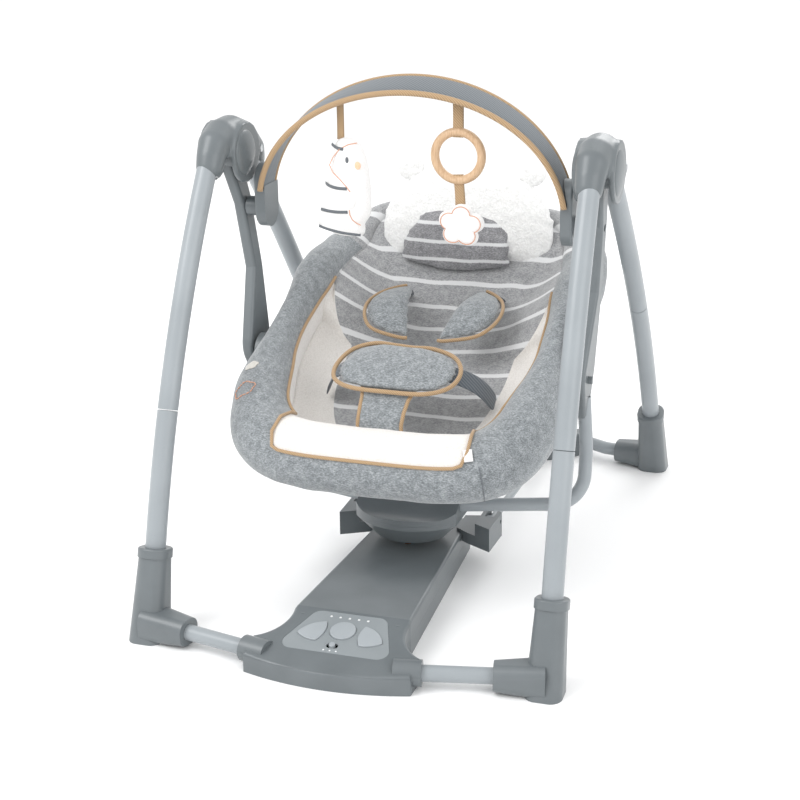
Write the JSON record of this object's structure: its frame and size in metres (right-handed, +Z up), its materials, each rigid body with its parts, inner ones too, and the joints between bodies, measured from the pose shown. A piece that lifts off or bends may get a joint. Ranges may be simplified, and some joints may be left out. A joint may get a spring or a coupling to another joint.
{
  "type": "baby swing",
  "caption": "Powered baby swing with a folding A-frame, a reclining padded seat hung on arms, a low base with controls, and a fabric toy bar.",
  "frame": {"origin": "on the floor, under the middle of the footprint", "axes": "+Z up, +Y to the rear, +X to the right when facing the swing's front"},
  "size_m": [0.5582, 0.86, 0.67],
  "materials": {
    "slate_plastic": "moulded, semi-gloss",
    "silver_tube": "satin powder coat",
    "dark_steel": "black paint",
    "bright_steel": "zinc plated",
    "bush_nylon": "natural nylon",
    "key_plastic": "fine matt",
    "cell_jacket": "printed sleeve, plain",
    "board_laminate": "solder mask",
    "speaker_paper": "pressed paper",
    "coil_copper": "enamelled wire",
    "magnet_iron": "plated ferrite",
    "heather_fabric": "heather jersey",
    "terry_fabric": "looped terry",
    "liner_fabric": "heather jersey with white stripes",
    "sling_fabric": "plain weave",
    "webbing": "woven webbing",
    "arch_fabric": "mesh with bound edges",
    "plush_white": "short pile",
    "beech": "sanded and waxed"
  },
  "bodies": {
    "frame": {"base_cover": "slate_plastic", "base_tray": "slate_plastic", "battery_cells": "cell_jacket", "battery_door": "slate_plastic", "base_screws": "bright_steel", "control_panel": "slate_plastic", "circuit_board": "board_laminate", "speaker": "speaker_paper", "drive_coil": "coil_copper", "front_floor_tubes": "silver_tube", "hub_pins": "bright_steel", "hub_caps": "slate_plastic", "brace_pins": "bright_steel", "front_foot_left": "slate_plastic", "front_foot_right": "slate_plastic", "front_leg_lower_left": "silver_tube", "front_leg_lower_right": "silver_tube", "front_leg_upper_left": "silver_tube", "front_leg_upper_right": "silver_tube", "hub_inner_left": "slate_plastic", "hub_inner_right": "slate_plastic", "hub_outer_left": "slate_plastic", "hub_outer_right": "slate_plastic"},
    "rear_frame": {"rear_leg_upper_left": "silver_tube", "rear_leg_upper_right": "silver_tube", "rear_leg_lower_left": "silver_tube", "rear_leg_lower_right": "silver_tube", "rear_foot_left": "slate_plastic", "rear_foot_right": "slate_plastic", "rear_floor_tubes": "silver_tube", "rear_housing_lower": "slate_plastic", "rear_housing_upper": "slate_plastic"},
    "brace": {"brace_tubes": "silver_tube", "brace_bar": "slate_plastic"},
    "carriage": {"swing_arm_left": "slate_plastic", "swing_arm_right": "slate_plastic", "hub_bushes": "bush_nylon", "drive_tube": "silver_tube", "drum_shell": "slate_plastic", "drum_lid": "slate_plastic", "drive_magnet": "magnet_iron"},
    "seat": {"recline_hubs": "slate_plastic", "seat_frame": "dark_steel", "seat_bolster": "heather_fabric", "seat_sling": "sling_fabric", "seat_liner": "liner_fabric", "side_panels": "terry_fabric", "head_pillow": "terry_fabric", "waist_pad": "heather_fabric", "shoulder_pads": "heather_fabric", "harness_straps": "webbing"},
    "toy_arch": {"toy_bar": "arch_fabric", "toy_clips": "slate_plastic"},
    "animal": {"toy_animal": "plush_white"},
    "ring": {"toy_ring": "beech"},
    "cloud": {"toy_cloud": "plush_white"},
    "music_key": {"music_button": "key_plastic"},
    "power_key": {"power_button": "key_plastic"},
    "speed_key": {"speed_rocker": "key_plastic"},
    "mode_key": {"mode_switch": "key_plastic"}
  },
  "joints": [
    {"name": "swing", "type": "hinge", "parent": "frame", "child": "carriage", "pos_m": [0, -0.08, 0.568], "axis": [1, 0, 0], "range_deg": [-16, 16]},
    {"name": "rear_fold", "type": "hinge", "parent": "frame", "child": "rear_frame", "pos_m": [0, -0.03, 0.565], "axis": [1, 0, 0], "range_deg": [-30, 0]},
    {"name": "brace_lift", "type": "hinge", "parent": "frame", "child": "brace", "pos_m": [0, -0.02, 0.057], "axis": [1, 0, 0], "range_deg": [0, 30]},
    {"name": "recline", "type": "hinge", "parent": "carriage", "child": "seat", "pos_m": [0, -0.065, 0.291], "axis": [1, 0, 0], "range_deg": [0, 12]},
    {"name": "toy_bar_turn", "type": "hinge", "parent": "carriage", "child": "toy_arch", "pos_m": [0, -0.053, 0.491], "axis": [1, 0, 0], "range_deg": [0, 50]},
    {"name": "animal_swing", "type": "hinge", "parent": "toy_arch", "child": "animal", "pos_m": [-0.096, -0.06, 0.64254], "axis": [1, 0, 0], "range_deg": [-25, 25]},
    {"name": "ring_swing", "type": "hinge", "parent": "toy_arch", "child": "ring", "pos_m": [0.061, -0.06, 0.65444], "axis": [1, 0, 0], "range_deg": [-20, 20]},
    {"name": "cloud_swing", "type": "hinge", "parent": "ring", "child": "cloud", "pos_m": [0.061, -0.06, 0.543], "axis": [1, 0, 0], "range_deg": [-25, 25]},
    {"name": "music_press", "type": "slide", "parent": "frame", "child": "music_key", "axis": [0, 0.2079, -0.9781], "range_m": [0, 0.0012], "stiffness_N_per_m": 400, "springref_m": -0.001},
    {"name": "power_press", "type": "slide", "parent": "frame", "child": "power_key", "axis": [0, 0.2079, -0.9781], "range_m": [0, 0.0012], "stiffness_N_per_m": 400, "springref_m": -0.001},
    {"name": "speed_tilt", "type": "hinge", "parent": "frame", "child": "speed_key", "pos_m": [0.04, -0.35752, 0.03441], "axis": [1, 0, 0], "range_deg": [-2.5, 2.5], "stiffness_Nm_per_rad": 0.05},
    {"name": "mode_slide", "type": "slide", "parent": "frame", "child": "mode_key", "axis": [1, 0, 0], "range_m": [-0.003, 0.003]}
  ]
}
